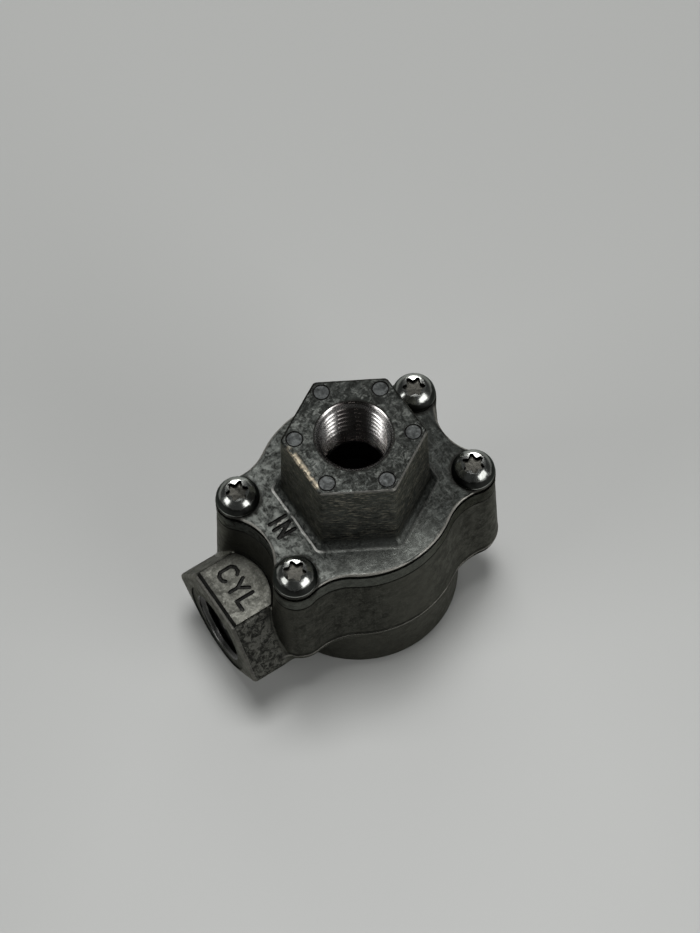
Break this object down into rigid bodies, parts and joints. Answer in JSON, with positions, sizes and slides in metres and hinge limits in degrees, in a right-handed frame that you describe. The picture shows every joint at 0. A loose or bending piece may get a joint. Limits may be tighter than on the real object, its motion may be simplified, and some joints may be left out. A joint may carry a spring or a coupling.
{
  "type": "quick exhaust valve",
  "caption": "Die-cast quick exhaust valve with hexagonal inlet and cylinder ports, a screwed-on cover and a rubber diaphragm that vents the cylinder through the port under its foot.",
  "frame": {"origin": "point on the valve's axis in the plane of the foot, at the mouth of the exhaust port", "axes": "+Z along the valve's axis out of the inlet port, -X out of the cylinder port, +Y across both"},
  "size_m": [0.0549, 0.0382, 0.0539],
  "materials": {
    "body_casting": "as-cast, dark and mottled",
    "cover_casting": "as-cast, dark and mottled",
    "screw_steel": "bright plated",
    "diaphragm_rubber": "moulded",
    "o_ring_rubber": "moulded"
  },
  "bodies": {
    "housing": {"body": "body_casting", "cover": "cover_casting", "cover_screws": "screw_steel", "cover_o_ring": "o_ring_rubber"},
    "shuttle": {"diaphragm": "diaphragm_rubber"}
  },
  "joints": [
    {"name": "diaphragm_slide", "type": "slide", "parent": "housing", "child": "shuttle", "axis": [0, 0, 1], "range_m": [0, 0.0025]}
  ]
}
